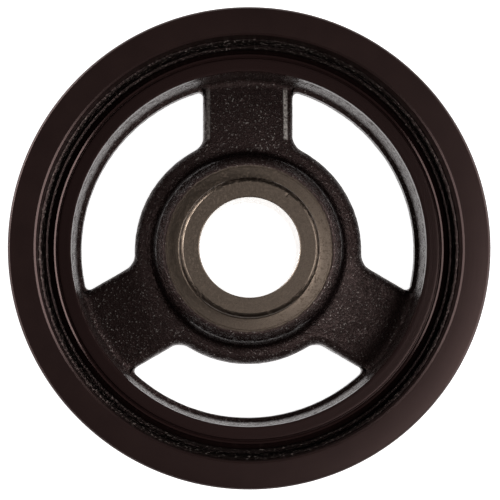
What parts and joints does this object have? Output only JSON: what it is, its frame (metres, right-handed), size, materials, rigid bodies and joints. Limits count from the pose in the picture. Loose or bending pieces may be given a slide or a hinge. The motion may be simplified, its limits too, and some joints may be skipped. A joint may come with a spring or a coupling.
{
  "type": "harmonic balancer",
  "caption": "Crankshaft harmonic balancer: three-spoke cast hub with a seal nose, a rubber strip and a heavy outer ring with a ribbed belt track.",
  "frame": {"origin": "centre of the inertia ring's front face, on the crankshaft axis", "axes": "+Z along the crankshaft axis from the front face to the seal nose, +Y along one spoke"},
  "size_m": [0.1808, 0.1808, 0.051],
  "materials": {
    "hub_iron": "black paint over rough casting, bare machined nose and shoulder",
    "ring_iron": "satin black coating over turned iron",
    "elastomer": "rough black rubber"
  },
  "bodies": {
    "root": {"hub": "hub_iron", "inertia_ring": "ring_iron", "elastomer_ring": "elastomer"}
  },
  "joints": []
}
